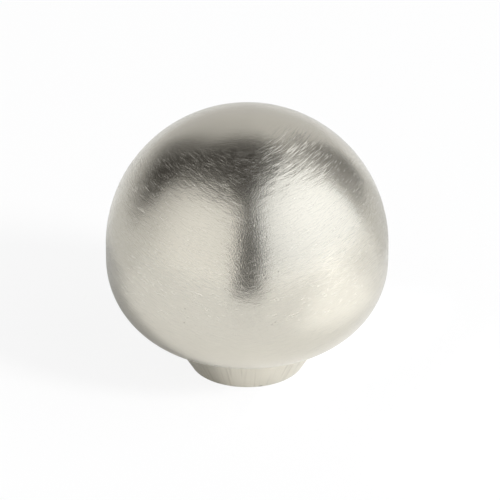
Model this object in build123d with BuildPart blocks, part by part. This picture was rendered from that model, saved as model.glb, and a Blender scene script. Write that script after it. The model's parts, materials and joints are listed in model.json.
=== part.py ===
from build123d import *
import os
from math import acos, degrees, radians, sqrt, tan

# Knob for a bifold door, turned in one piece from solid bar: a ball on a short neck, tapped for one screw
# The origin is the centre of the flat base that seats on the door, and +Z is the knob's axis out of the door

# Ball: a half sphere on a short straight waist, with a rounder shoulder under it
ball_diameter = 38.0
waist_height = 2.0
shoulder_radius = 11.4

# Neck: a short cone that narrows from the ball to the door
neck_top_diameter = 21.2
neck_base_diameter = 15.3
neck_length = 4.9
neck_root_radius = 0.4
base_edge_break = 0.1

# Blind hole drilled for a number 8 screw with 32 threads to the inch
tap_drill_diameter = 3.45
tap_drill_depth = 12.0
drill_point_angle = 118.0
countersink_width = 0.65
countersink_angle = 90.0

# Radii and heights that follow from the sizes
ball_radius = ball_diameter / 2
neck_base_radius = neck_base_diameter / 2
shoulder_centre_radius = ball_radius - shoulder_radius
neck_reach = neck_top_diameter / 2 - shoulder_centre_radius
shoulder_sweep = degrees(acos(neck_reach / shoulder_radius))
shoulder_top_z = neck_length + sqrt(shoulder_radius**2 - neck_reach**2)
dome_centre_z = shoulder_top_z + waist_height
tap_drill_radius = tap_drill_diameter / 2
drill_point_height = tap_drill_radius / tan(radians(drill_point_angle / 2))

os.makedirs("parts", exist_ok=True)

with BuildPart() as knob:
    # Half section: from the crown of the ball down its side, in under it, down the neck and along the base
    with BuildSketch(Plane.XZ) as half_section:
        with BuildLine() as outline:
            dome = CenterArc((0, dome_centre_z), ball_radius, 90, -90)
            waist = Line(dome @ 1, (ball_radius, shoulder_top_z))
            shoulder = CenterArc((shoulder_centre_radius, shoulder_top_z), shoulder_radius, 0, -shoulder_sweep)
            neck_side = Line(shoulder @ 1, (neck_base_radius, 0))
            base_line = Line(neck_side @ 1, (0, 0))
            axis_line = Line(base_line @ 1, dome @ 0)
        make_face()
    revolve(axis=Axis.Z)

    # Rounded root where the neck meets the ball, and a broken edge round the base
    neck_wall = knob.faces().filter_by(GeomType.CONE).sort_by(Axis.Z)[0]
    neck_rims = neck_wall.edges().filter_by(GeomType.CIRCLE).sort_by(Axis.Z)
    fillet(neck_rims[-1], radius=neck_root_radius)
    base_face = knob.faces().filter_by(GeomType.PLANE).sort_by(Axis.Z)[0]
    chamfer(base_face.edges(), length=base_edge_break)

    # Screw hole up from the base, with a countersunk mouth and the drill's point at its end
    with Locations(Plane.XY.rotated((180, 0, 0))):
        CounterSinkHole(
            radius=tap_drill_radius,
            counter_sink_radius=tap_drill_radius + countersink_width,
            depth=tap_drill_depth,
            counter_sink_angle=countersink_angle,
        )
    with Locations(Plane.XY.offset(tap_drill_depth)):
        Cone(
            bottom_radius=tap_drill_radius,
            top_radius=0,
            height=drill_point_height,
            align=(Align.CENTER, Align.CENTER, Align.MIN),
            mode=Mode.SUBTRACT,
        )

knob.part.label = "knob"
export_step(knob.part, "parts/knob.step")
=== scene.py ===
# %% [markdown]
# # A brushed nickel ball knob
# The knob is one turned piece of metal: a ball, a short neck and a flat base with a tapped hole.
# The imported part is loaded first, because it fixes where everything is and how big it is.
# Its box is kept, and the ball's width and the knob's height are read from it.

# %% Load the imported part
import json
from math import atan2, cos, degrees, pi, radians, sin, sqrt, tan

import bpy
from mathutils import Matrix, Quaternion, Vector


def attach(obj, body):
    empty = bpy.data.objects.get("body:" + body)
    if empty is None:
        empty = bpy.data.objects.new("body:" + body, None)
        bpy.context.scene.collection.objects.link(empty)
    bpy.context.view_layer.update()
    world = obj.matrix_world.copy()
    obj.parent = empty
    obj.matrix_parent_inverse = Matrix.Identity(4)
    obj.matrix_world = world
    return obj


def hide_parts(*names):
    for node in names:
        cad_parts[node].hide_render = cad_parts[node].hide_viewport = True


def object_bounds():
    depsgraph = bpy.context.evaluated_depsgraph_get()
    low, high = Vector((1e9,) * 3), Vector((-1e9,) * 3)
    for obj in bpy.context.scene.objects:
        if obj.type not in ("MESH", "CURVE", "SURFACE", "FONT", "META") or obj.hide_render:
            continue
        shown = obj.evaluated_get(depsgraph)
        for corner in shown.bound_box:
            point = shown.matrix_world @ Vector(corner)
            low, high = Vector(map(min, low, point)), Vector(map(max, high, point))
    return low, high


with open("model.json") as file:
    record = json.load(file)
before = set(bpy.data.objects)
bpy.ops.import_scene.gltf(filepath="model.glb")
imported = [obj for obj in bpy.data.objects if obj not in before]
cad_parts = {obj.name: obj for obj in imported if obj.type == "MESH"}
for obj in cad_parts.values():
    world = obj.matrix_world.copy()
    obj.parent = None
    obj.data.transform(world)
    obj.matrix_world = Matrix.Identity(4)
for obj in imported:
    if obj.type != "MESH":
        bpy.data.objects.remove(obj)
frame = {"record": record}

cad_low, cad_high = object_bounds()
print("CAD box from", list(cad_low), "to", list(cad_high))

# %% [markdown]
# ## Sizes
# The ball's width and the knob's height are read from the part, and the hole's size from its mount.
# The other sizes of the half section are the same ones that the part was turned to, here in metres.

# %% Sizes of the knob
MM = 0.001

ball_radius = (cad_high.x - cad_low.x) / 2
knob_height = cad_high.z
waist_height = 2.0 * MM
shoulder_radius = 11.4 * MM
neck_top_radius = 10.6 * MM
neck_base_radius = 7.65 * MM
neck_length = 4.9 * MM
root_radius = 0.4 * MM
edge_break = 0.1 * MM

screw_hole = next(mount for mount in frame["record"]["mounts"] if mount["name"] == "screw_hole")
hole_radius = screw_hole["dims"]["r_mm"] * MM
countersink_width = 0.65 * MM
hole_depth = countersink_width + screw_hole["dims"]["length_mm"] * MM
drill_half_angle = radians(59)

dome_z = knob_height - ball_radius
shoulder_z = dome_z - waist_height
print("ball radius", ball_radius, "dome centre at", dome_z, "shoulder centre at", shoulder_z)

# %% [markdown]
# ## Turning the knob
# A lathe makes this shape by turning a half section round an axis, and the Spin tool does the same.
# A UV sphere could be pulled into shape instead, but its rings would not fall on the neck and the edges.
# The section is drawn from a single point: a spin about the centre of an arc draws that arc,
# and an extrusion draws each straight line. At the end the whole section is spun round the knob's axis.

# %% Tools that draw a section
def point_at(name, place):
    """A new mesh in edit mode that is one selected point: a small plane merged to its middle."""
    bpy.ops.object.select_all(action="DESELECT")
    bpy.ops.mesh.primitive_plane_add(size=MM, enter_editmode=True, location=place)
    piece = bpy.context.object
    piece.name = name
    piece.data.name = name
    bpy.ops.mesh.merge(type="CENTER")
    bpy.ops.object.mode_set(mode="OBJECT")
    bpy.ops.object.transform_apply(location=True, rotation=True, scale=True)
    bpy.ops.object.mode_set(mode="EDIT")
    bpy.ops.mesh.select_all(action="SELECT")
    return piece


def arc(centre, angle, steps):
    """Draws an arc in the plane of the section from the selected point."""
    bpy.ops.mesh.spin(steps=steps, angle=angle, center=(centre[0], 0, centre[1]), axis=(0, -1, 0))


def line(out, up, steps=1):
    """Draws a straight line from the selected point, in equal steps."""
    for _ in range(steps):
        bpy.ops.mesh.extrude_region_move(
            TRANSFORM_OT_translate={"value": (out / steps, 0, up / steps)}
        )


# %% [markdown]
# The root of the neck is a small hollow arc that touches the shoulder above it and the neck's slope below.
# That fixes its centre, and with it the angle of the shoulder's arc and the upper end of the slope.

# %% Centres and ends of the arcs
shoulder_centre = Vector((ball_radius - shoulder_radius, shoulder_z))
neck_foot = Vector((neck_base_radius, 0))
neck_flare = atan2(neck_top_radius - neck_base_radius, neck_length)
neck_out = Vector((cos(neck_flare), -sin(neck_flare)))
neck_up = Vector((sin(neck_flare), cos(neck_flare)))

root_offset = root_radius - (shoulder_centre - neck_foot).dot(neck_out)
root_drop = sqrt((shoulder_radius + root_radius) ** 2 - root_offset ** 2)
root_centre = shoulder_centre + neck_out * root_offset - neck_up * root_drop
shoulder_sweep = atan2(shoulder_centre.y - root_centre.y, root_centre.x - shoulder_centre.x)
neck_head = root_centre - neck_out * root_radius
edge_top = neck_foot + neck_up * edge_break
mouth_radius = hole_radius + countersink_width
print("the shoulder turns by", round(degrees(shoulder_sweep), 1), "degrees")
print("the neck leans by", round(degrees(neck_flare), 1), "degrees")

# %% Draw the half section and spin it
LATHE_STEPS = 288
DOME_STEPS = 56
WAIST_STEPS = 4
SHOULDER_STEPS = 48
ROOT_STEPS = 8
NECK_STEPS = 12
BASE_STEPS = 6
MERGE_DISTANCE = 1e-7

knob = point_at("turned_knob", (0, 0, knob_height))
arc((0, dome_z), pi / 2, DOME_STEPS)
line(0, -waist_height, WAIST_STEPS)
arc(shoulder_centre, shoulder_sweep, SHOULDER_STEPS)
arc(root_centre, neck_flare - shoulder_sweep, ROOT_STEPS)
line(edge_top.x - neck_head.x, edge_top.y - neck_head.y, NECK_STEPS)
line(neck_base_radius - edge_break - edge_top.x, -edge_top.y)
line(mouth_radius - neck_base_radius + edge_break, 0, BASE_STEPS)
line(-countersink_width, countersink_width)
line(0, hole_depth - countersink_width)
line(-hole_radius, hole_radius / tan(drill_half_angle))
bpy.ops.mesh.select_all(action="SELECT")
bpy.ops.mesh.spin(steps=LATHE_STEPS, angle=2 * pi, center=(0, 0, 0), axis=(0, 0, 1))
bpy.ops.mesh.select_all(action="SELECT")
bpy.ops.mesh.remove_doubles(threshold=MERGE_DISTANCE)
bpy.ops.mesh.normals_make_consistent(inside=False)
bpy.ops.object.mode_set(mode="OBJECT")
print("turned knob:", len(knob.data.vertices), "points,", len(knob.data.polygons), "faces")

# %% [markdown]
# ## Tapping the hole
# The drilled hole is tapped for a number 8 screw with 32 threads to the inch.
# A tap cuts a groove of 60 degrees that climbs by one pitch in each turn.
# Here the groove's section is a plane with one side drawn in to a narrow flat.
# A Screw modifier winds it up the hole, and a Boolean cuts that winding out of the knob,
# so the thread is real geometry and not only a pattern.

# %% Draw the groove's section
INCH = 25.4 * MM
THREADS_PER_INCH = 32
CREST_SHARE = 0.125
thread_pitch = INCH / THREADS_PER_INCH
thread_diameter = 4.166 * MM
thread_radius = thread_diameter / 2
thread_half_angle = radians(30)
cutter_clearance = 0.1 * MM

cutter_depth = thread_radius - hole_radius + cutter_clearance
crest_width = thread_pitch * CREST_SHARE
mouth_width = crest_width + 2 * cutter_depth * tan(thread_half_angle)

bpy.ops.object.select_all(action="DESELECT")
bpy.ops.mesh.primitive_plane_add(
    size=1, location=(thread_radius - cutter_depth / 2, 0, -thread_pitch), rotation=(pi / 2, 0, 0)
)
cutter = bpy.context.object
cutter.name = "thread_cutter"
cutter.scale = (cutter_depth, mouth_width, 1)
bpy.ops.object.transform_apply(location=True, rotation=True, scale=True)
for vertex in cutter.data.vertices:
    vertex.select = vertex.co.x > thread_radius - cutter_depth / 2
bpy.ops.object.mode_set(mode="EDIT")
bpy.ops.mesh.select_mode(type="VERT")
bpy.ops.transform.resize(
    value=(1, 1, crest_width / mouth_width), center_override=(thread_radius, 0, -thread_pitch)
)
bpy.ops.mesh.select_all(action="SELECT")
bpy.ops.mesh.delete(type="ONLY_FACE")
bpy.ops.object.mode_set(mode="OBJECT")
groove_widths = [round(width / MM, 3) for width in (mouth_width, crest_width)]
print("the groove is", groove_widths, "mm wide at its mouth and its flat")

# %% Wind the section into a cutter
THREAD_STEPS = 48
END_SIDES = 4
thread_turns = 13


def select_only(piece):
    bpy.ops.object.select_all(action="DESELECT")
    piece.select_set(True)
    bpy.context.view_layer.objects.active = piece


winding = cutter.modifiers.new("winding", "SCREW")
winding.axis = "Z"
winding.angle = 2 * pi
winding.screw_offset = thread_pitch
winding.iterations = thread_turns
winding.steps = THREAD_STEPS
winding.render_steps = THREAD_STEPS
select_only(cutter)
bpy.ops.object.modifier_apply(modifier="winding")
bpy.ops.object.mode_set(mode="EDIT")
bpy.ops.mesh.select_all(action="SELECT")
bpy.ops.mesh.fill_holes(sides=END_SIDES)
bpy.ops.mesh.select_all(action="SELECT")
bpy.ops.mesh.normals_make_consistent(inside=False)
bpy.ops.object.mode_set(mode="OBJECT")
print("the cutter has", thread_turns, "turns and", len(cutter.data.polygons), "faces")

# %% Cut the thread
SMOOTH_ANGLE = radians(20)

select_only(knob)
tapping = knob.modifiers.new("tapping", "BOOLEAN")
tapping.operation = "DIFFERENCE"
tapping.solver = "EXACT"
tapping.object = cutter
bpy.ops.object.modifier_apply(modifier="tapping")
bpy.data.objects.remove(cutter)
bpy.ops.object.shade_smooth_by_angle(angle=SMOOTH_ANGLE)
print("tapped knob:", len(knob.data.vertices), "points,", len(knob.data.polygons), "faces")

# %% [markdown]
# ## The camera
# The photo looks down on the knob at about 28 degrees, through a long lens that keeps the view nearly
# flat. The ball's outline has a known centre and radius in pixels, which fix the lens and the aim.
# The camera comes before the finishes, because a mark seen at a pixel is put on the ball through it.

# %% Set up the camera
PICTURE_SIDE = 500
SENSOR = 36.0
DISTANCE_IN_RADII = 30
camera_elevation = radians(27.83)
camera_distance = DISTANCE_IN_RADII * ball_radius
ball_radius_pixels = 141.36
ball_centre_pixel = Vector((247.16, 243.55))

picture_right = Vector((1, 0, 0))
picture_up = Vector((0, sin(camera_elevation), cos(camera_elevation)))
towards_camera = Vector((0, -cos(camera_elevation), sin(camera_elevation)))
pixel_size = ball_radius / ball_radius_pixels


def on_ball(pixel_x, pixel_y):
    """The direction from the ball's centre to the place that shows at a pixel of the picture."""
    across = (pixel_x - ball_centre_pixel.x) / ball_radius_pixels
    up = (ball_centre_pixel.y - pixel_y) / ball_radius_pixels
    near = sqrt(1 - across ** 2 - up ** 2)
    return picture_right * across + picture_up * up + towards_camera * near


aim = Vector((0, 0, dome_z))
aim += picture_right * (PICTURE_SIDE / 2 - ball_centre_pixel.x) * pixel_size
aim -= picture_up * (PICTURE_SIDE / 2 - ball_centre_pixel.y) * pixel_size
camera_data = bpy.data.cameras.new("camera")
camera_data.sensor_width = SENSOR
camera_data.lens = SENSOR * camera_distance / (pixel_size * PICTURE_SIDE)
camera = bpy.data.objects.new("camera", camera_data)
bpy.context.scene.collection.objects.link(camera)
camera.location = aim + towards_camera * camera_distance
camera.rotation_mode = "QUATERNION"
camera.rotation_quaternion = (-towards_camera).to_track_quat("-Z", "Y")
bpy.context.scene.camera = camera
bpy.context.scene.view_settings.view_transform = "Standard"
print("lens of", round(camera_data.lens), "mm at", round(camera_distance, 3), "m")

# %% [markdown]
# ## Writing shader maths
# A finish is a small network of nodes, which is hard to read when each node and link is a line of its own.
# One class wraps a node's output, so that an expression such as 1 - mask adds the Math nodes by itself.
# Every other node comes from one method, which takes its type, its settings and its sockets.

# %% Two helpers for node trees
class Socket:
    """A node's output in an expression: each operator adds the Math node that works it out."""

    def __init__(self, nodes, output):
        self.nodes = nodes
        self.output = output

    def maths(self, operation, *values):
        return self.nodes.add("Math", {"operation": operation}, dict(enumerate(values)))["Value"]

    def __add__(self, other):
        return self.maths("ADD", self, other)

    def __sub__(self, other):
        return self.maths("SUBTRACT", self, other)

    def __rsub__(self, other):
        return self.maths("SUBTRACT", other, self)

    def __mul__(self, other):
        return self.maths("MULTIPLY", self, other)

    def __truediv__(self, other):
        return self.maths("DIVIDE", self, other)

    def __pow__(self, power):
        return self.maths("POWER", self, power)

    def __abs__(self):
        return self.maths("ABSOLUTE", self)

    def above(self, start, end):
        """A smooth step: 0 up to start and 1 from end on."""
        settings = {"interpolation_type": "SMOOTHSTEP"}
        sockets = {"Value": self, "From Min": start, "From Max": end}
        return self.nodes.add("MapRange", settings, sockets)["Result"]

    __radd__ = __add__
    __rmul__ = __mul__


class Nodes:
    """An emptied node tree that add() fills."""

    def __init__(self, owner):
        owner.use_nodes = True
        self.tree = owner.node_tree
        self.tree.nodes.clear()

    def add(self, kind, settings=None, sockets=None):
        """Adds a node, makes its settings, then sets or links its sockets. Gives its outputs by name."""
        node = self.tree.nodes.new("ShaderNode" + kind)
        for name, value in (settings or {}).items():
            if name == "stops":
                ramp = node.color_ramp
                for place, _ in value[len(ramp.elements):]:
                    ramp.elements.new(place)
                for element, (place, grey) in zip(ramp.elements, value):
                    element.position = place
                    element.color = (grey, grey, grey, 1)
            else:
                setattr(node, name, value)
        by_name = {socket.name: socket for socket in reversed(node.inputs) if socket.enabled}
        for name, value in (sockets or {}).items():
            socket = by_name[name] if isinstance(name, str) else node.inputs[name]
            if isinstance(value, Socket):
                self.tree.links.new(value.output, socket)
            else:
                socket.default_value = value
        return {out.name: Socket(self, out) for out in reversed(node.outputs) if out.enabled}


# %% [markdown]
# ## Brush marks
# The real ball was brushed with an abrasive pad, which left short fine scratches all over it.
# On the left half they fall to the right, on the right half they rise, and in the middle they cross.
# They could be drawn one by one, but a noise that is drawn out along planes gives thousands at once.
# Only where the noise is far from its middle is there a stroke: it leans one way where the noise is
# high and the other way where it is low, and the metal between the strokes stays plain.

# %% Strokes over the ball
STROKE_LENGTH = 1.9 * MM
STROKE_WIDTH = 0.12 * MM
STROKE_SAG = 0.4
NOISE_MIDDLE = 0.5
PLAIN_HALF = 0.09
LEANING_HALF = 0.24


def noise_on(nodes, vector, scale=1.0, detail=0.0):
    return nodes.add("TexNoise", None, {"Vector": vector, "Scale": scale, "Detail": detail})["Fac"]


def vector_maths(nodes, operation, *values):
    return nodes.add("VectorMath", {"operation": operation}, dict(enumerate(values)))["Vector"]


def scaled(nodes, vector, factor):
    return nodes.add("VectorMath", {"operation": "SCALE"}, {0: vector, "Scale": factor})["Vector"]


def dot(nodes, vector, axis):
    return nodes.add("VectorMath", {"operation": "DOT_PRODUCT"}, {0: vector, 1: axis})["Value"]


def distance_to(nodes, vector, place):
    return nodes.add("VectorMath", {"operation": "DISTANCE"}, {0: vector, 1: place})["Value"]


def ball_direction(nodes):
    """The direction from the ball's centre to a point of its surface."""
    from_centre = vector_maths(nodes, "SUBTRACT", nodes.add("TexCoord")["Object"], (0, 0, dome_z))
    return vector_maths(nodes, "NORMALIZE", from_centre)


def stroke_axis(slant):
    """The axis that strokes go round, if they cross the face of the ball at a slant in degrees."""
    upright = picture_up * cos(radians(slant)) - picture_right * sin(radians(slant))
    return (upright + towards_camera * STROKE_SAG).normalized()


def strokes(nodes, outward, axis, length=STROKE_LENGTH, width=STROKE_WIDTH):
    """1 where a stroke leans towards its axis, -1 where it leans away, and 0 on plain metal."""
    along = scaled(nodes, outward, ball_radius / length)
    across = scaled(nodes, axis, dot(nodes, outward, axis) * (ball_radius / width))
    noise = noise_on(nodes, vector_maths(nodes, "ADD", along, across))
    high = noise.above(NOISE_MIDDLE + PLAIN_HALF, NOISE_MIDDLE + LEANING_HALF)
    low = noise.above(NOISE_MIDDLE - PLAIN_HALF, NOISE_MIDDLE - LEANING_HALF)
    return high - low


print("a stroke is about", round(STROKE_LENGTH / pixel_size), "pixels long in the picture")

# %% [markdown]
# ## Small flaws of the ball
# A few dark pits show low on the ball, and some small bright flecks beside its dark middle.
# Each is a round spot at the place on the ball that shows at one pixel of the picture.
# Modelling them would need a very fine mesh, so the spots are masks: the pits paint their shade into the
# colour as dark spots, and the flecks are a bump.

# %% Spots at some places of the ball
# painted shade: the pits show as dark spots painted into the colour, in place of the shade inside them
SHADED_PIT_PIXELS = ((274.6, 319.8), (271.4, 321.8), (186.7, 307.2), (186.4, 320.2))
SHADED_PIT_RADIUS = 0.16 * MM
FLECK_PIXELS = (
    (254.8, 226.2), (265.2, 236.9), (240.3, 240.6), (276.9, 270.7), (262.5, 274.4), (264.0, 277.4)
)
FLECK_RADIUS = 0.2 * MM


def spots(nodes, outward, pixels, radius):
    """1 in the middle of each spot, and 0 outside its radius."""
    reach = radius / ball_radius
    return sum(distance_to(nodes, outward, on_ball(*pixel)).above(reach, 0) for pixel in pixels)


first_shaded_pit = [round(part, 3) for part in on_ball(*SHADED_PIT_PIXELS[0])]
print(len(SHADED_PIT_PIXELS), "pits and", len(FLECK_PIXELS), "flecks, the first pit towards", first_shaded_pit)

# %% [markdown]
# ## The ball's finish
# The metal is nickel, a warm grey, with a satin gloss that the fine brushing stretches across the marks.
# A scratch is finer than the picture can show, and it sends back light from all round. So it is bright
# where the ball mirrors something dark, and hardly shows where the ball mirrors something bright.
# Strokes painted in one shade would show all over alike. Here each one mixes a little matt, freshly cut
# metal into the satin metal, and it leans the normal by up to three degrees.
# The top of the ball is smooth, so the strokes fade out there. In a patch at the upper right the pad was
# pressed harder, so longer streaks that lean much more are added.
# The fine grain and the flecks are a bump, and the pits are dark spots of painted shade in the colour.

# %% Strokes over the whole ball
LEFT_SLANTS = (-14, -28)
RIGHT_SLANTS = (13, 27)
OVERLAP = 0.3
TOP_FROM = 0.75
TOP_FULL = 0.9
TOP_STRENGTH = 0.6
SMOOTH_FROM = 0.55
SMOOTH_FULL = 0.75
BACK = -0.3
FADE_FROM = 0.2
FADE_TO = -0.7
STROKE_SHARE = 0.14


def brushing(nodes, outward):
    """How far the strokes lean, as pairs of an axis and an amount, and the share of matt metal in them."""
    part = nodes.add("SeparateXYZ", None, {"Vector": outward})
    on_left = part["X"].above(OVERLAP, -OVERLAP)
    on_right = part["X"].above(-OVERLAP, OVERLAP)
    on_top = part["Z"].above(TOP_FROM, TOP_FULL)
    in_front = dot(nodes, outward, towards_camera).above(BACK, 0)
    smooth = dot(nodes, outward, picture_up).above(SMOOTH_FROM, SMOOTH_FULL) * in_front
    rough = 1 - smooth
    layers = [(stroke_axis(slant), on_left) for slant in LEFT_SLANTS]
    layers += [(stroke_axis(slant), on_right) for slant in RIGHT_SLANTS]
    layers += [(Vector((0, 0, 1)), on_top * TOP_STRENGTH)]
    brushed = [(axis, strokes(nodes, outward, axis), where * rough) for axis, where in layers]
    leans = [(axis, stroke * where) for axis, stroke, where in brushed]
    marked = sum(stroke ** 2 * where for axis, stroke, where in brushed)
    faded = marked * part["Z"].above(FADE_TO, FADE_FROM)
    return leans, faded * STROKE_SHARE


print("strokes at", LEFT_SLANTS, "degrees on the left and", RIGHT_SLANTS, "on the right")

# %% Streaks in the patch
PATCH_PIXEL = (299, 156)
PATCH_REACH = 0.38
PATCH_CORE = 0.05
STREAK_SLANTS = (9, 20)
STREAK_LENGTH = 3.4 * MM
STREAK_WIDTH = 0.11 * MM
STREAK_GAIN = 6.0
STREAK_SHARE = 0.35


def streaking(nodes, outward):
    """The same for the streaks of the patch."""
    patch = distance_to(nodes, outward, on_ball(*PATCH_PIXEL)).above(PATCH_REACH, PATCH_CORE)
    streaks = []
    for axis in [stroke_axis(slant) for slant in STREAK_SLANTS]:
        streaks.append((axis, strokes(nodes, outward, axis, STREAK_LENGTH, STREAK_WIDTH) * patch))
    leans = [(axis, lean * STREAK_GAIN) for axis, lean in streaks]
    marked = sum(abs(lean) for axis, lean in streaks)
    return leans, marked * STREAK_SHARE


patch_radius = round(PATCH_REACH * ball_radius / MM, 1)
print("streaks at", STREAK_SLANTS, "degrees, up to", patch_radius, "mm from the middle of the patch")

# %% Brushed nickel for the ball
NICKEL = (0.658, 0.629, 0.549, 1)
FRESH_NICKEL = (0.95, 0.93, 0.87, 1)
# painted shade: the dark colour of the pits and the nick stands in for the shade inside them
PAINTED_SHADE_IN_HOLLOWS = (0.25, 0.23, 0.19, 1)
STROKE_TILT = tan(radians(3))
SATIN_ROUGHNESS = 0.25
SCRATCH_ROUGHNESS = 0.95
GLOSS_STRETCH = 0.5
QUARTER_TURN = 0.25
GRAIN_SIZE = 0.17 * MM
GRAIN_DEPTH = 0.019 * MM
GRAIN_DETAIL = 1.0


def bumped(nodes, height, depth):
    return nodes.add("Bump", None, {"Height": height, "Distance": depth})["Normal"]


def blended(nodes, share, first, second):
    """One colour, with a share of another over it."""
    sockets = {"Factor": share, "A": first, "B": second}
    return nodes.add("Mix", {"data_type": "RGBA"}, sockets)["Result"]


def mixed(nodes, share, first, second):
    """One shader, with a share of another in it."""
    return nodes.add("MixShader", None, {0: share, 1: first, 2: second})["Shader"]


def metal(nodes, colour, normal, roughness, stretch=0.0, turn=0.0):
    """A metal shader. Its gloss can be stretched, and the stretch turned by a part of a full turn."""
    surface = {"Base Color": colour, "Metallic": 1.0, "Normal": normal}
    gloss = {"Roughness": roughness, "Anisotropic": stretch, "Anisotropic Rotation": turn}
    return nodes.add("BsdfPrincipled", None, surface | gloss)["BSDF"]


def brushed_ball():
    material = bpy.data.materials.new("brushed_ball")
    nodes = Nodes(material)
    outward = ball_direction(nodes)
    stroke_leans, stroke_share = brushing(nodes, outward)
    streak_leans, streak_share = streaking(nodes, outward)
    place = nodes.add("TexCoord")["Object"]
    grain = noise_on(nodes, place, 1 / GRAIN_SIZE, GRAIN_DETAIL)
    flecks = spots(nodes, outward, FLECK_PIXELS, FLECK_RADIUS)
    shaded_pits = spots(nodes, outward, SHADED_PIT_PIXELS, SHADED_PIT_RADIUS)
    normal = bumped(nodes, grain + flecks, -GRAIN_DEPTH)
    for axis, lean in stroke_leans + streak_leans:
        normal = vector_maths(nodes, "ADD", normal, scaled(nodes, axis, lean * STROKE_TILT))
    normal = vector_maths(nodes, "NORMALIZE", normal)
    # painted shade: the pits darken the colour
    colour = blended(nodes, shaded_pits, NICKEL, PAINTED_SHADE_IN_HOLLOWS)
    satin = metal(nodes, colour, normal, SATIN_ROUGHNESS, GLOSS_STRETCH, QUARTER_TURN)
    scratched = metal(nodes, FRESH_NICKEL, normal, SCRATCH_ROUGHNESS)
    shader = mixed(nodes, stroke_share + streak_share, satin, scratched)
    nodes.add("OutputMaterial", None, {"Surface": shader})
    return material


ball_finish = brushed_ball()
print("the ball's finish has", len(ball_finish.node_tree.nodes), "nodes")

# %% [markdown]
# ## The neck's finish
# The neck was brushed along its slope, so its fine lines run up and down. One small nick is at its foot,
# and its shade is painted into the colour as a dark spot.
# The same noise serves again, now narrow round the neck and long up it. It reads the direction away from
# the axis instead of the place, so that each line keeps to the slope of the cone from top to bottom.

# %% Brushed nickel for the neck
NICKEL_IN_MARKS = (0.55, 0.52, 0.45, 1)
LINE_WIDTH = 0.34 * MM
LINE_LENGTH = 8 * MM
LINE_DEPTH = 0.04 * MM
LINE_SHADE = 0.9
LINE_DETAIL = 2.0
MARK_FROM = 0.5
MARK_FULL = 0.3
TURNED_ROUGHNESS = 0.3
NECK_GRAIN_SIZE = 0.16 * MM
NECK_GRAIN_SHARE = 0.2
# painted shade: the small nick at the neck's foot is a dark spot in the colour, in place of its shade
SHADED_NICK_PIXEL_X = 260.5
SHADED_NICK_RADIUS = 0.5 * MM

shaded_nick_x = (SHADED_NICK_PIXEL_X - ball_centre_pixel.x) * pixel_size
shaded_nick_place = Vector((shaded_nick_x, -sqrt(neck_base_radius ** 2 - shaded_nick_x ** 2), edge_break))


def brushed_neck():
    material = bpy.data.materials.new("brushed_neck")
    nodes = Nodes(material)
    place = nodes.add("TexCoord")["Object"]
    outward = vector_maths(nodes, "NORMALIZE", vector_maths(nodes, "MULTIPLY", place, (1, 1, 0)))
    around = scaled(nodes, outward, neck_base_radius / LINE_WIDTH)
    along = vector_maths(nodes, "MULTIPLY", place, (0, 0, 1 / LINE_LENGTH))
    lines = noise_on(nodes, vector_maths(nodes, "ADD", around, along), detail=LINE_DETAIL)
    grain = noise_on(nodes, place, 1 / NECK_GRAIN_SIZE, GRAIN_DETAIL)
    normal = bumped(nodes, lines + grain * NECK_GRAIN_SHARE, LINE_DEPTH)
    shade = lines.above(MARK_FROM, MARK_FULL) * LINE_SHADE
    lined = blended(nodes, shade, NICKEL, NICKEL_IN_MARKS)
    # painted shade in the nick
    shaded_nick = distance_to(nodes, place, shaded_nick_place).above(SHADED_NICK_RADIUS, 0)
    colour = blended(nodes, shaded_nick, lined, PAINTED_SHADE_IN_HOLLOWS)
    shader = metal(nodes, colour, normal, TURNED_ROUGHNESS, GLOSS_STRETCH)
    nodes.add("OutputMaterial", None, {"Surface": shader})
    return material


neck_finish = brushed_neck()
print("the neck's finish has", len(neck_finish.node_tree.nodes), "nodes")

# %% [markdown]
# ## The base's finish
# The base and the hole are never seen on a door, so they keep the rings that the cutting tool left.
# The rings are a noise that changes fast with the distance from the axis and slowly round it.

# %% Turned nickel for the base and the hole
RING_WIDTH = 0.12 * MM
RING_LENGTH = 6 * MM
RING_DEPTH = 0.02 * MM
RING_SHADE = 0.6


def faced_base():
    material = bpy.data.materials.new("faced_base")
    nodes = Nodes(material)
    place = nodes.add("TexCoord")["Object"]
    flat = vector_maths(nodes, "MULTIPLY", place, (1, 1, 0))
    radius = nodes.add("VectorMath", {"operation": "LENGTH"}, {0: flat})["Value"]
    part = nodes.add("SeparateXYZ", None, {"Vector": place})
    round_axis = {"X": radius / RING_WIDTH, "Y": part["X"] / RING_LENGTH, "Z": part["Y"] / RING_LENGTH}
    rings = nodes.add("CombineXYZ", None, round_axis)["Vector"]
    marks = noise_on(nodes, rings, detail=LINE_DETAIL)
    normal = bumped(nodes, marks, RING_DEPTH)
    shade = marks.above(MARK_FROM, MARK_FULL) * RING_SHADE
    colour = blended(nodes, shade, NICKEL, NICKEL_IN_MARKS)
    shader = metal(nodes, colour, normal, TURNED_ROUGHNESS, GLOSS_STRETCH, QUARTER_TURN)
    nodes.add("OutputMaterial", None, {"Surface": shader})
    return material


base_finish = faced_base()
print("the base's finish has", len(base_finish.node_tree.nodes), "nodes")

# %% [markdown]
# ## Putting the finishes on
# Each face gets its finish by its place: the base and the hole, the neck, and the ball above them.
# The knob then rides on the part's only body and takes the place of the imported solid.

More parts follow.
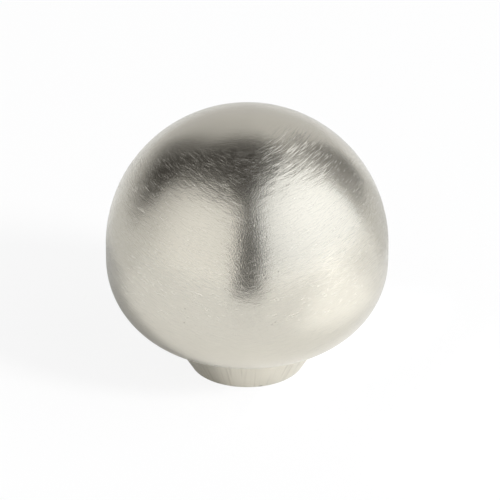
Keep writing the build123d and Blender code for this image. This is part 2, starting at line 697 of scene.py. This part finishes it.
# %% Give each face its finish
BALL, NECK, BASE = range(3)
for material in (ball_finish, neck_finish, base_finish):
    knob.data.materials.append(material)
for face in knob.data.polygons:
    from_axis = sqrt(face.center.x ** 2 + face.center.y ** 2)
    in_hole = from_axis < mouth_radius and face.center.z < dome_z
    on_base = face.center.z < edge_break / 2
    if in_hole or on_base:
        face.material_index = BASE
    elif face.center.z < neck_head.y:
        face.material_index = NECK
    else:
        face.material_index = BALL
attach(knob, "root")
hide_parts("knob")
finishes = [face.material_index for face in knob.data.polygons]
face_counts = [finishes.count(finish) for finish in (BALL, NECK, BASE)]
print("faces of the ball, the neck and the base:", face_counts)

# %% [markdown]
# ## The floor
# The knob stands on white paper. For the camera the paper is mostly plain white, so that it has no edge,
# and the rest of its shade keeps the knob's shadow. In the metal a little of that white shows too.
# From below the paper is clear, and it is open under the base, so that the base can be looked at.
# A plane could have a hole cut in it, but a circle that is extruded and made large is a ring at once.

# %% A white paper floor
FLOOR_RADIUS = 7.0
FLOOR_SIDES = 96
FLOOR_MARGIN = 1.5 * edge_break
FLOOR_OPENING = neck_base_radius - FLOOR_MARGIN
PAPER_GREY = 0.7
PAPER = (PAPER_GREY, PAPER_GREY, PAPER_GREY, 1)
WHITE_SHARE = 0.88
METAL_SHARE = 0.1

bpy.ops.object.select_all(action="DESELECT")
bpy.ops.mesh.primitive_circle_add(vertices=FLOOR_SIDES, radius=FLOOR_OPENING, enter_editmode=True)
floor = bpy.context.object
floor.name = "floor"
growth = FLOOR_RADIUS / FLOOR_OPENING
bpy.ops.mesh.extrude_region_move()
bpy.ops.transform.resize(value=(growth, growth, 1), center_override=(0, 0, 0))
bpy.ops.object.mode_set(mode="OBJECT")

paper = bpy.data.materials.new("white_paper")
nodes = Nodes(paper)
ray = nodes.add("LightPath")
lit = nodes.add("BsdfDiffuse", None, {"Color": PAPER})["BSDF"]
white = nodes.add("Emission", None, {"Strength": 1.0})["Emission"]
in_metal = ray["Is Glossy Ray"] + ray["Is Transmission Ray"]
whiteness = ray["Is Camera Ray"] * WHITE_SHARE + in_metal * METAL_SHARE
from_above = mixed(nodes, whiteness, lit, white)
clear = nodes.add("BsdfTransparent")["BSDF"]
from_below = nodes.add("NewGeometry")["Backfacing"]
nodes.add("OutputMaterial", None, {"Surface": mixed(nodes, from_below, from_above, clear)})
floor.data.materials.append(paper)
print("floor of", FLOOR_RADIUS, "m radius, facing", list(floor.data.polygons[0].normal))

# %% [markdown]
# ## Soft panels
# Metal shows little but its surroundings, so the panels round the knob make most of its look.
# Each is an upright softbox on the floor that faces the knob. It is given by the angles at which the knob
# sees it: azimuth counts from the camera's side, to the right, and elevation counts up from the floor.
# A real softbox is brighter in its middle than at its edges, so its level follows both angles.

# %% A softbox
PANEL_DISTANCE = 0.5
RIGHT_ANGLE = 90


def hang(name, data, place, target):
    """Puts a lamp at a place so that it shines at a target. The camera doesn't see it."""
    lamp = bpy.data.objects.new(name, data)
    bpy.context.scene.collection.objects.link(lamp)
    lamp.location = place
    lamp.rotation_mode = "QUATERNION"
    lamp.rotation_quaternion = (target - place).to_track_quat("-Z", "Y")
    lamp.visible_camera = False
    return lamp


def azimuth_direction(azimuth):
    return Vector((sin(radians(azimuth)), -cos(radians(azimuth)), 0))


def softbox(
    name, facing, start, end, top, radiance, across, up, distance=PANEL_DISTANCE, colour=(1, 1, 1)
):
    """A panel from one azimuth to another, with (angle, level) pairs across it and up it, in degrees."""
    out = azimuth_direction(facing)
    side = azimuth_direction(facing + RIGHT_ANGLE)
    near_edge = distance * tan(radians(start - facing))
    far_edge = distance * tan(radians(end - facing))
    data = bpy.data.lights.new(name, "AREA")
    data.shape = "RECTANGLE"
    data.size = far_edge - near_edge
    data.size_y = distance * tan(radians(top))
    data.color = colour
    data.energy = radiance * pi * data.size * data.size_y
    nodes = Nodes(data)
    spot = nodes.add("SeparateXYZ", None, {"Vector": nodes.add("NewGeometry")["Position"]})
    ahead = spot["X"] * out.x + spot["Y"] * out.y
    aside = spot["X"] * side.x + spot["Y"] * side.y
    azimuth = ahead.maths("ARCTAN2", aside, ahead)
    away = (ahead ** 2 + aside ** 2) ** 0.5
    elevation = away.maths("ARCTAN2", spot["Z"], away)
    share_across = (azimuth - radians(start - facing)) / radians(end - start)
    share_up = elevation / radians(RIGHT_ANGLE)
    stops_across = [((angle - start) / (end - start), level) for angle, level in across]
    stops_up = [(angle / RIGHT_ANGLE, level) for angle, level in up]
    level_across = nodes.add("ValToRGB", {"stops": stops_across}, {"Fac": share_across})["Color"]
    level_up = nodes.add("ValToRGB", {"stops": stops_up}, {"Fac": share_up})["Color"]
    level = vector_maths(nodes, "MULTIPLY", level_across, level_up)
    glow = nodes.add("Emission", None, {"Color": level})["Emission"]
    nodes.add("OutputLight", None, {"Surface": glow})
    middle = out * distance + side * (near_edge + far_edge) / 2 + Vector((0, 0, data.size_y / 2))
    print(name, "is", round(data.size, 2), "m wide and", round(data.size_y, 2), "m high")
    return hang(name, data, middle, middle - out)


# %% [markdown]
# The two large softboxes make the bright halves of the ball, and the gap between them its dark stem.
# The back panel makes the light cap on its top. The fill, behind it on the right, and the low card,
# behind it on the left, light its two edges.

# %% The panels round the knob
softbox(
    "right_softbox", facing=60, start=13, end=110, top=71, radiance=1.5, distance=1.0,
    across=[(13, 0.66), (35, 0.83), (48, 0.92), (60, 0.97), (75, 1)],
    up=[(4, 0.88), (22, 0.95), (42, 1), (52, 0.97), (62, 0.86), (71, 0.75)],
    colour=(0.97, 1, 1.05),
)
softbox(
    "left_softbox", facing=-40, start=-103, end=-8.5, top=62, radiance=1.04,
    across=[
        (-103, 0.45), (-95, 0.56), (-85, 0.7), (-75, 0.84), (-65, 0.93), (-55, 0.98), (-45, 1), (-15, 0.96)
    ],
    up=[(42, 1), (48, 0.98), (54, 0.91), (62, 0.76)],
)
softbox(
    "back_panel", facing=178, start=146, end=226, top=58, radiance=0.66,
    across=[(178, 1), (200, 0.86), (209, 0.8), (212, 0.22), (226, 0.14)],
    up=[(20, 1), (42, 0.95), (50, 1)],
)
softbox(
    "right_fill", facing=127, start=109, end=147, top=64, radiance=0.75, distance=0.56,
    across=[(109, 1), (124, 0.8), (137, 0.38)],
    up=[(4, 0.62), (15, 0.55), (30, 0.45), (48, 0.75), (64, 0.6)],
)
softbox(
    "low_card", facing=-122, start=-149, end=-97, top=18, radiance=0.38, distance=0.56,
    across=[(-149, 1), (-97, 1)],
    up=[(9, 1), (18, 0.5)],
)

# %% [markdown]
# ## Light on the paper
# The panels alone leave the paper too grey where the metal mirrors it, so three lamps light it further.
# A key lamp from the front right gives the shadow behind the knob. A small foot lamp from behind, on the
# right, reaches the paper beside the foot of the neck, and a narrow beam from above makes it brighter
# on the right. None of the three shows in the metal itself.

# %% A key lamp and a foot lamp
HALF_TURN = 180


def round_lamp(name, azimuth, elevation, distance, size, power, target, spread=HALF_TURN):
    """A round lamp at two angles, in degrees, that shines at a target. The metal doesn't show it."""
    up = Vector((0, 0, tan(radians(elevation))))
    place = (azimuth_direction(azimuth) + up).normalized() * distance
    data = bpy.data.lights.new(name, "AREA")
    data.shape = "DISK"
    data.size = size
    data.spread = radians(spread)
    data.energy = power
    lamp = hang(name, data, place, target)
    lamp.visible_glossy = False
    print(name, "at", [round(part, 3) for part in place], "with", power, "W")


ball_centre = Vector((0, 0, dome_z))
knob_foot = Vector((0, 0, 0))
round_lamp(
    "key_lamp", azimuth=57, elevation=33.5, distance=1.2, size=0.3, power=18, target=ball_centre
)
round_lamp(
    "foot_lamp", azimuth=122, elevation=24, distance=0.35, size=0.015, power=0.006, target=knob_foot,
    spread=3,
)

# %% A beam along the paper
BEAM_AZIMUTH = 67
BEAM_NEAR = 0.03
BEAM_FAR = 0.42
BEAM_WIDTH = 0.045
BEAM_HEIGHT = 0.1
BEAM_SPREAD = 11
BEAM_LEVEL = 0.42

beam_data = bpy.data.lights.new("floor_beam", "AREA")
beam_data.shape = "RECTANGLE"
beam_data.size = BEAM_WIDTH
beam_data.size_y = BEAM_FAR - BEAM_NEAR
beam_data.spread = radians(BEAM_SPREAD)
beam_data.energy = BEAM_LEVEL * pi / PAPER_GREY * beam_data.size * beam_data.size_y
beam_foot = azimuth_direction(BEAM_AZIMUTH) * (BEAM_NEAR + BEAM_FAR) / 2
beam = hang("floor_beam", beam_data, beam_foot + Vector((0, 0, BEAM_HEIGHT)), beam_foot)
beam.rotation_quaternion = Quaternion((0, 0, 1), radians(BEAM_AZIMUTH))
beam.visible_glossy = False
print("beam from", BEAM_NEAR, "to", BEAM_FAR, "m beside the knob")

# %% [markdown]
# ## The dim room
# Over and between the panels the metal shows a dim room, which makes the dark bar across the ball.
# A large dome over everything stands for it. Towards the camera, where the dark stem of the reflection
# comes from, a dark sheet with the dim room's glow lies on the paper: painted shade on the paper. Two grey
# sheets lie behind the knob, right and left, and give the grey bands along the ball's two edges: painted
# shade on the paper too. Only the metal sees these things.

# %% A dim room
ROOM_RADIUS = 6.0
ROOM_SEGMENTS = 48
ROOM_RINGS = 24
ROOM_COLOUR = (1.1, 1.0, 0.92, 1)
ROOM_LEVEL = 0.035


def only_in_metal(piece):
    """Stage that shows in reflections and nowhere else."""
    piece.visible_camera = False
    piece.visible_diffuse = False
    piece.visible_transmission = False
    piece.visible_volume_scatter = False
    piece.visible_shadow = False


def glowing(name, colour, level):
    material = bpy.data.materials.new(name)
    nodes = Nodes(material)
    glow = nodes.add("Emission", None, {"Color": colour, "Strength": level})["Emission"]
    nodes.add("OutputMaterial", None, {"Surface": glow})
    return material


dim = glowing("dim_room", ROOM_COLOUR, ROOM_LEVEL)
bpy.ops.object.select_all(action="DESELECT")
bpy.ops.mesh.primitive_uv_sphere_add(
    segments=ROOM_SEGMENTS, ring_count=ROOM_RINGS, radius=ROOM_RADIUS, enter_editmode=True
)
room = bpy.context.object
room.name = "dim_room"
bpy.ops.mesh.bisect(plane_co=(0, 0, 0), plane_no=(0, 0, 1), clear_inner=True)
bpy.ops.object.mode_set(mode="OBJECT")
room.data.materials.append(dim)
only_in_metal(room)
print("room with", len(room.data.polygons), "faces")

# %% Painted shade on the paper: a dark sheet in front and two grey sheets behind
# painted shade: the glow of the grey sheets stands in for darker paper, in the metal only
PAPER_SHADE_COLOUR = (1, 1, 1, 1)
PAPER_SHADE_LEVEL = 0.72
LIFT = 0.2 * MM


def lay_on_paper(name, azimuth, half_angle, near, far, material):
    """A wedge on the paper at an azimuth, from a near edge to a far one."""
    bpy.ops.object.select_all(action="DESELECT")
    bpy.ops.mesh.primitive_plane_add(size=1, location=(0, 0, LIFT))
    piece = bpy.context.object
    piece.name = name
    out = azimuth_direction(azimuth)
    side = azimuth_direction(azimuth + RIGHT_ANGLE)
    for corner in piece.data.vertices:
        reach = far if corner.co.y > 0 else near
        aside = 2 * corner.co.x * reach * tan(radians(half_angle))
        corner.co = out * reach + side * aside
    piece.data.materials.append(material)
    only_in_metal(piece)
    print(name, "from", near, "to", far, "m")


# painted shade: the dim room's glow on the paper towards the camera, in the metal only
lay_on_paper("front_paper_shade", azimuth=0, half_angle=10, near=0.09, far=1.2, material=dim)
# painted shade: two grey sheets that stand in for darker paper behind the knob
grey = glowing("painted_paper_shade", PAPER_SHADE_COLOUR, PAPER_SHADE_LEVEL)
lay_on_paper("right_paper_shade", azimuth=132, half_angle=18, near=0.045, far=0.5, material=grey)
lay_on_paper("left_paper_shade", azimuth=-113, half_angle=25, near=0.055, far=0.3, material=grey)

# %% [markdown]
# ## The world
# Behind everything is plain white for the camera and the metal, and a little even light for the paper.

# %% A white world
SKY_LIGHT = 0.12

world = bpy.data.worlds.new("studio")
bpy.context.scene.world = world
nodes = Nodes(world)
ray = nodes.add("LightPath")
seen = ray["Is Camera Ray"] + ray["Is Glossy Ray"] + ray["Is Transmission Ray"]
strength = seen.maths("MAXIMUM", seen, SKY_LIGHT)
sky = nodes.add("Background", None, {"Strength": strength})["Background"]
nodes.add("OutputWorld", None, {"Surface": sky})
print("world with", len(nodes.tree.nodes), "nodes")
